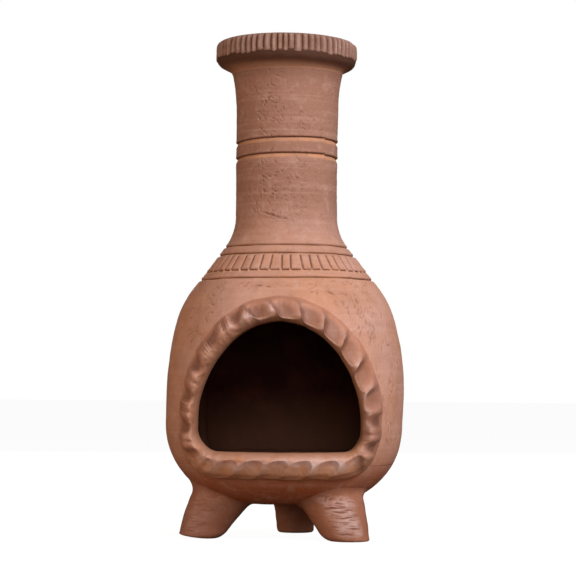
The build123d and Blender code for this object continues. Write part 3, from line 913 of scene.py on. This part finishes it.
def lay_ribs():
    """For each column round the crown its angle, how far it is up its rib, and how low the rib ends."""
    steps = np.linspace(0, 1, RIB_STEPS, endpoint=False)
    widths = DRAW.uniform(0.78, 1.22, FLUTES)
    edges = np.concatenate([[0], np.cumsum(widths)]) / widths.sum() * TURN
    angles = np.concatenate([a + (b - a) * steps for a, b in zip(edges, edges[1:])])
    rib = 1 - abs(2 * np.tile(steps, FLUTES) - 1) ** 2.2
    vigour = np.repeat(DRAW.uniform(0.7, 1.2, FLUTES), RIB_STEPS)
    ends = np.repeat(DRAW.normal(0, 1.0, FLUTES), RIB_STEPS) * MM
    return angles, rib, rib * vigour, (rib * vigour - 0.5) * RIB_END + ends


def crown_section():
    """Radius, height and share of a rib, as columns: up the bore, over the top and down on to the neck."""
    seat = (BORE / MM, (HEIGHT - NECK_TOP_Z) / MM, 0)
    r, depth, share = smooth_line([seat, (BORE / MM, 6, 0), *CROWN_PROFILE], 5).T
    r = np.append(r * MM, (NECK_R + 0.2 * MM,) * 2)
    z = np.append(HEIGHT - depth * MM, (CROWN_BASE_Z, NECK_TOP_Z))
    return r[:, None], z[:, None], np.append(unit(share), (0, 0))[:, None]


def build_crown():
    """The fluted rim. Its ribs are pressed by hand, so no two are quite as wide."""
    angles, rib, strong_rib, ends = lay_ribs()
    r, z, share = crown_section()
    radius = r + share * strong_rib * RIB_HEIGHT - share * RIB_SINK
    depth = HEIGHT - z
    height = z - rise(depth, 17, 6) * ease(share / 0.3) * ends
    angle = np.broadcast_to(angles, radius.shape)
    at = on_pot(angle.ravel(), radius.ravel(), height.ravel())
    outside = rise(radius - NECK_R, 4, 8)
    rough = lumps(at, (0.7, 60, 17), (0.4, 13, 18), (0.16, 4, 19)).reshape(radius.shape)
    radius = radius + rough * outside
    height = height + lumps(at, (0.5, 70, 20)).reshape(radius.shape) * rise(HEIGHT - height, 0, 4) * outside
    lean = CROWN_TILT * (0.5 + 0.5 * np.sin(angle)) + 0.5 * CROWN_SINK * (1 - np.cos(angle)) - CROWN_RISE
    points = on_pot(angle, radius, height - outside * lean)
    points[..., 0] -= CROWN_SHIFT * outside

    # painted shade in the grooves between the ribs and a painted shadow under them; dust and a painted sheen
    # on the ribs' crests
    creases = 0.85 * ease(share * 1.6 - 0.5) * ease(1 - rib / 0.45)
    painted_shadow_under_ribs = rise(depth, 21, 2) * (r > NECK_R + 1 * MM) * np.interp(depth, *UNDER_RIBS)
    pale = 0.35 * rise(depth, 29, 7) * (r > BORE + 1 * MM)
    attributes = {
        "recess": np.maximum(creases, painted_shadow_under_ribs),
        "crest": share * ease((rib - 0.75) / 0.25),
        "flank": np.broadcast_to(pale, radius.shape),
    }
    slots = np.broadcast_to(r < BORE + 0.8 * MM, radius.shape)
    piece = new_piece("crown", points, (True, True), attributes, (CROWN, DARK_INSIDE), slots)
    settle(piece, "crown_ring")


# ======== feet

FOOT_KNEE_Z, FOOT_TOP_Z = 34 * MM, 84 * MM
FOOT_KNEE_LEAN, FOOT_TOP_LEAN, FOOT_KNEE_SPREAD = 17.5 * MM, 58 * MM, 0.36
FOOT_FILLET, FILLET_WAVER, FILLET_ROWS = 9 * MM, 2.5 * MM, 11
SOLE_EDGE = 3 * MM
AROUND_FOOT = circle(FOOT_COLUMNS)


def towards(angle):
    return np.stack([np.sin(angle), -np.cos(angle)], axis=-1)


def under_bowl(flat):
    """Points on the bowl's underside, over or under the given x and y."""
    base_r, base_radius = BASE_ARC
    off = np.clip(np.hypot(*flat.T) - base_r, 0, base_radius * 0.999)
    return np.column_stack([flat, BOWL_Z + base_radius - np.sqrt(base_radius**2 - off**2)])


FOOT_NUMBERS = "angle reach sole_r spread soft_way softer lift patch_way smeared dark shift slimmer"


class Foot(namedtuple("Foot", FOOT_NUMBERS)):
    """A foot's plain shape, in rings from the middle of its sole up on to the bowl.

    As drawn: the way it points, how far out its sole's middle is, its sole's radius, and how much wider its
    top is. By hand: which way its sole is rounded most and by how much more, how far the other side is lifted,
    the middle and strength of the patch smeared as the clay dried, how much painted shade darkens it, how far
    it was set to the right, and how much slimmer it came out."""

    def ways(self):
        return towards(radians(self.angle) + AROUND_FOOT)

    def ring(self, z):
        """Its outline at a height, which may differ round it: curves through its sole, knee and top."""
        share, knee_share = z / FOOT_TOP_Z, FOOT_KNEE_Z / FOOT_TOP_Z

        def curve(knee, top):
            bend = (knee - knee_share * top) / (knee_share * (knee_share - 1))
            return share * top + bend * share * (share - 1)

        radius = self.sole_r - self.slimmer + curve(FOOT_KNEE_SPREAD * self.spread, self.spread)
        reach = self.reach - curve(FOOT_KNEE_LEAN, FOOT_TOP_LEAN)
        middle = np.outer(reach, towards(radians(self.angle)))
        return np.column_stack([middle + self.ways() * radius[:, None] + (self.shift, 0), z])

    def sole(self):
        """Its flat, lifted on one side, and its rounded edge."""
        middle = towards(radians(self.angle)) * self.reach + (self.shift, 0)
        soft = 0.5 + 0.5 * np.cos(radians(self.angle - self.soft_way) + AROUND_FOOT)
        edge = (SOLE_EDGE + self.softer * soft**2)[:, None]
        raised = self.lift * (1 - soft) ** 2
        rim = self.ring(0 * soft)[:, :2] - self.ways() * edge
        rings = [np.column_stack([middle + (rim - middle) * share, raised * share]) for share in (0.0, 0.6)]
        for turn in np.radians(np.linspace(0, 90, 7)):
            z = edge[:, 0] * (1 - cos(turn))
            flat = self.ring(z)[:, :2] - self.ways() * edge * (1 - sin(turn))
            rings.append(np.column_stack([flat, z + raised * (1 - z / (14 * MM))]))
        return rings

    def meeting(self):
        """The height at which each side of the foot meets the bowl, by halving."""
        low, high = np.full(FOOT_COLUMNS, 20 * MM), np.full(FOOT_COLUMNS, FOOT_TOP_Z)
        for _ in range(30):
            middle = (low + high) / 2
            inside = middle > under_bowl(self.ring(middle)[:, :2])[:, 2]
            low, high = np.where(inside, low, middle), np.where(inside, middle, high)
        return (low + high) / 2

    def rings(self):
        """The sole, the shank, and a fillet on to the bowl."""
        rings = self.sole()
        meet = self.meeting()
        fillet = FOOT_FILLET + FILLET_WAVER * np.cos(3 * AROUND_FOOT + self.angle)
        sole_z, shank_z = rings[-1][:, 2], meet - fillet
        rings += [self.ring(sole_z + share * (shank_z - sole_z)) for share in np.linspace(0, 1, 60)[1:]]
        p0, p1 = self.ring(shank_z), self.ring(meet)
        p2 = under_bowl(p1[:, :2] + self.ways() * (fillet * 1.25)[:, None])
        for t in np.linspace(0, 1, FILLET_ROWS + 1)[1:]:
            rings.append((1 - t) ** 2 * p0 + 2 * t * (1 - t) * p1 + t**2 * p2)
        return np.array(rings)


FEET = {
    "foot_front_left": Foot(
        -75, 104 * MM, 28 * MM, 26 * MM, 90, 5 * MM, 4.2 * MM, -22, 0.35, 0.0, 1.3 * MM, 2.0 * MM),
    "foot_front_right": Foot(
        53, 97 * MM, 28 * MM, 25 * MM, -95, 7 * MM, 0, 16, 1.0, 0.0, -0.8 * MM, 0.6 * MM),
    # The rear foot is darkened with painted shade.
    "foot_rear": Foot(
        176, 97 * MM, 23.5 * MM, 8 * MM, 60, 1 * MM, 0, 0, 0.0, 0.5, 1.7 * MM, 1.0 * MM),
}


def smeared_patch(at, way, foot):
    """The folds that a thumb left in the drying clay, and how far each point is in their patch."""
    bent = at[:, 2] + lumps(at, (1.6, 14, 25))
    unrolled = np.column_stack([np.arctan2(at[:, 0], -at[:, 1]) * 90 * MM, 0 * way, bent])
    fold = 1 - 2.4 * abs(noise(unrolled, (14 * MM, 1, 2.0 * MM), 24))
    facing = abs(turn_between(way, radians(foot.patch_way)))
    patch = foot.smeared * ease((radians(44) - facing) / radians(30))
    return fold, patch * rise(at[:, 2], 3, 7) * rise(-at[:, 2], -60, 14)


def bowl_shift(plain, rough, join):
    """How the foot's upper rings move with the bowl's relief, so that they lie just under its skin."""
    x, y, _ = plain.reshape(-1, 3).T
    run = run_at(np.maximum(under_bowl(np.column_stack([x, y]))[:, 2], BOWL_Z + 0.01 * MM))
    sink = Relief(np.arctan2(x, -y), run).height - 0.35 * MM
    normal = rough.reshape(-1, 3) - (0, 0, BOWL_Z + BASE_ARC[1])
    normal[:, :2] *= 1 - np.minimum(1, BASE_ARC[0] / np.hypot(x, y))[:, None]
    normal /= np.linalg.norm(normal, axis=1)[:, None]
    return normal.reshape(plain.shape) * (sink.reshape(plain.shape[:2]) * join)[:, :, None]


def build_foot(name, foot):
    plain = foot.rings()
    rows = len(plain)
    at = plain.reshape(-1, 3)
    join = ease((np.arange(rows) - (rows - 1 - FILLET_ROWS)) / FILLET_ROWS)[:, None]
    fold, patch = smeared_patch(at, np.tile(radians(foot.angle) + AROUND_FOOT, rows), foot)
    rough = lumps(at, (1.3, 34, 21), (0.5, 12, 22), (0.12, 3.5, 23)) + 0.55 * MM * fold * patch
    rough = rough.reshape(plain.shape[:2]) * (1 - join) * rise(plain[:, :, 2], 0, 6)
    grid = plain.copy()
    grid[:, :, :2] += rough[:, :, None] * foot.ways()
    grid += bowl_shift(plain, grid, join)

    last = grid[-1, :, :2]
    middle = last.mean(axis=0)
    cap = [under_bowl(middle + (last - middle) * share) + (0, 0, 3 * MM) for share in (0.85, 0.6, 0.3, 0.0)]
    grid = np.concatenate([grid, np.array(cap)], axis=0)
    # painted shade over the whole foot as set, and in the smeared folds; dust and a painted sheen on the
    # folds' ridges
    painted_shade = foot.dark + 0.7 * patch * ease(0.4 - 1.5 * fold)
    attributes = {"crest": patch * ease(0.4 + fold), "recess": 0.8 * painted_shade}
    piece = new_piece(name.replace("foot_", "") + "_foot", grid, (False, True), attributes, [FOOT])
    settle(piece, name)


# ======== luting coils

def build_ring_coil(name, node, z, coil_r):
    """An uneven roll of clay pressed round over a level seam."""
    around, turn = circle(180)[None, :], circle(16)[:, None]
    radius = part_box(node)[1][0] - 0.6 * MM
    thick = coil_r * (0.92 + 0.10 * np.sin(around * 23) + 0.06 * np.sin(around * 9 + 1))
    r, height = radius + thick * np.cos(turn) * 0.9, z + thick * np.sin(turn)
    piece = new_piece(name, on_pot(around + 0 * r, r, height), (True, True), {}, [DARK_INSIDE])
    settle(piece, node)


def build_seam_coil(name, node, angle):
    """A strip of clay thumbed over an upright seam inside the firebox."""
    rows, columns = 110, 14
    low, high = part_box(node)[0][2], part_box(node)[1][2]
    heights = np.linspace(low, high, rows)
    inside = inner_rows(high, low, 1 * MM)[::-1]
    radius = np.interp(heights, [row[1] for row in inside], [row[0] for row in inside])[:, None]
    turn = circle(columns)[None, :]
    pinch = 1 + 0.12 * np.sin(heights / (4 * MM))[:, None]
    across = 7 * MM * np.cos(turn) * pinch
    depth = np.maximum(4.6 * MM * np.sin(turn), -1.5 * MM) * pinch
    points = on_pot(radians(angle) + across / radius, radius - depth, heights[:, None] + 0 * depth)
    settle(new_piece(name, points, (False, True), {}, [DARK_INSIDE]), node)


def build_coils():
    build_ring_coil("base_coil", "base_seam_coil", BASE_TOP_Z + LAP, 7 * MM)
    build_ring_coil("neck_coil", "neck_seam_coil", FIREBOX_TOP_Z + LAP, 5 * MM)
    build_seam_coil("right_coil", "right_seam_coil", SEAM_ANGLE)
    build_seam_coil("left_coil", "left_seam_coil", SEAM_ANGLE - 180)


# ======== floor, light and camera

FLOOR_SIZE, FLOOR_GLOW, FLOOR_PALE, FLOOR_BOUNCE = 60, 0.955, (0.12, 0.12, 0.12, 1), (0.19, 0.12, 0.075, 1)
WORLD_LIGHT, WORLD_SEEN = 0.06, 1.0
# Square lights that look at the pot's middle: place, size, power and colour.
POT_MIDDLE = (0, 0, 0.3)
LIGHTS = {
    "key": ((2.1, -1.8, 1.85), 1.3, 93, (0.95, 1.0, 1.07)),
    "front": ((0.30, -3.4, 0.75), 1.5, 54, (1.0, 0.97, 0.92)),
    "back": ((-0.4, 3.2, 1.3), 1.6, 34, (1.0, 0.96, 0.92)),
    "left": ((-2.7, -0.72, 0.55), 1.3, 26, (1.0, 0.74, 0.52)),
    "top": ((0.2, 0.3, 2.6), 1.6, 12, (1.0, 1.0, 1.0)),
}
CAMERA_DISTANCE, EYE_Z, CAMERA_AZIMUTH = 2.68, 0.1783, 3.3
CAMERA_PITCH, CAMERA_YAW, CAMERA_ROLL, LENS, SENSOR = 2.62, 0.05, 0.35, 138.25, 36


def build_floor():
    """A pale studio floor, that the camera sees nearly white. What it throws back on the pot is damped."""
    bpy.ops.mesh.primitive_plane_add(size=FLOOR_SIZE)
    floor = bpy.context.object
    floor.name = "floor"
    material = bpy.data.materials.new("pale_floor")
    shader = Shader(material)
    nodes = shader.tree.nodes
    bounce = {"Base Color": FLOOR_BOUNCE, "Roughness": 0.9, "Specular IOR Level": 0.0}
    bounced = shader.put(nodes["Principled BSDF"], bounce).outputs[0]
    pale = shader.add("BsdfDiffuse", {"Color": FLOOR_PALE}).outputs[0]
    glow = shader.add("Emission", {"Strength": FLOOR_GLOW}).outputs[0]
    seen = shader.add("AddShader", {0: pale, 1: glow}).outputs[0]
    by_camera = shader.add("LightPath").outputs["Is Camera Ray"]
    surface = shader.add("MixShader", {0: by_camera, 1: bounced, 2: seen}).outputs[0]
    shader.put(nodes["Material Output"], {"Surface": surface})
    floor.data.materials.append(material)


def light_studio():
    """The lights, and a world that the camera sees white but that hardly lights the pot."""
    for name, (place, size, power, colour) in LIGHTS.items():
        light = bpy.data.objects.new(name, bpy.data.lights.new(name, "AREA"))
        light.data.shape, light.data.size = "SQUARE", size
        light.data.energy, light.data.color = power, colour
        light.location = place
        light.rotation_euler = (Vector(POT_MIDDLE) - Vector(place)).to_track_quat("-Z", "Y").to_euler()
        bpy.context.collection.objects.link(light)
    world = bpy.data.worlds.new("studio")
    bpy.context.scene.world = world
    shader = Shader(world)
    strength = shader.ramp(shader.add("LightPath").outputs["Is Camera Ray"], 0, 1, WORLD_SEEN, WORLD_LIGHT)
    shader.put(shader.tree.nodes["Background"], {"Strength": strength, "Color": (1, 1, 1, 1)})
    bpy.context.scene.view_settings.view_transform = "Standard"


def set_camera():
    """A long lens at the height of the mouth, turned slightly to its right."""
    azimuth = radians(CAMERA_AZIMUTH)
    camera = bpy.data.objects.new("camera", bpy.data.cameras.new("camera"))
    camera.data.lens, camera.data.sensor_width = LENS, SENSOR
    camera.location = on_pot(azimuth, CAMERA_DISTANCE, EYE_Z)
    camera.rotation_euler = (radians(90 + CAMERA_PITCH), 0, azimuth - radians(CAMERA_YAW))
    look = camera.rotation_euler.to_matrix() @ Vector((0, 0, -1))
    level = look.to_track_quat("-Z", "Y").to_matrix().to_4x4()
    roll = Matrix.Rotation(radians(CAMERA_ROLL), 4, Vector((0, 0, 1)))
    camera.rotation_euler = (level @ roll).to_euler()
    bpy.context.collection.objects.link(camera)
    bpy.context.scene.camera = camera


build_bowl()
build_firebox()
build_chimney()
build_lip()
build_crown()
for foot_name, foot_shape in FEET.items():
    build_foot(foot_name, foot_shape)
build_coils()
build_floor()
light_studio()
set_camera()
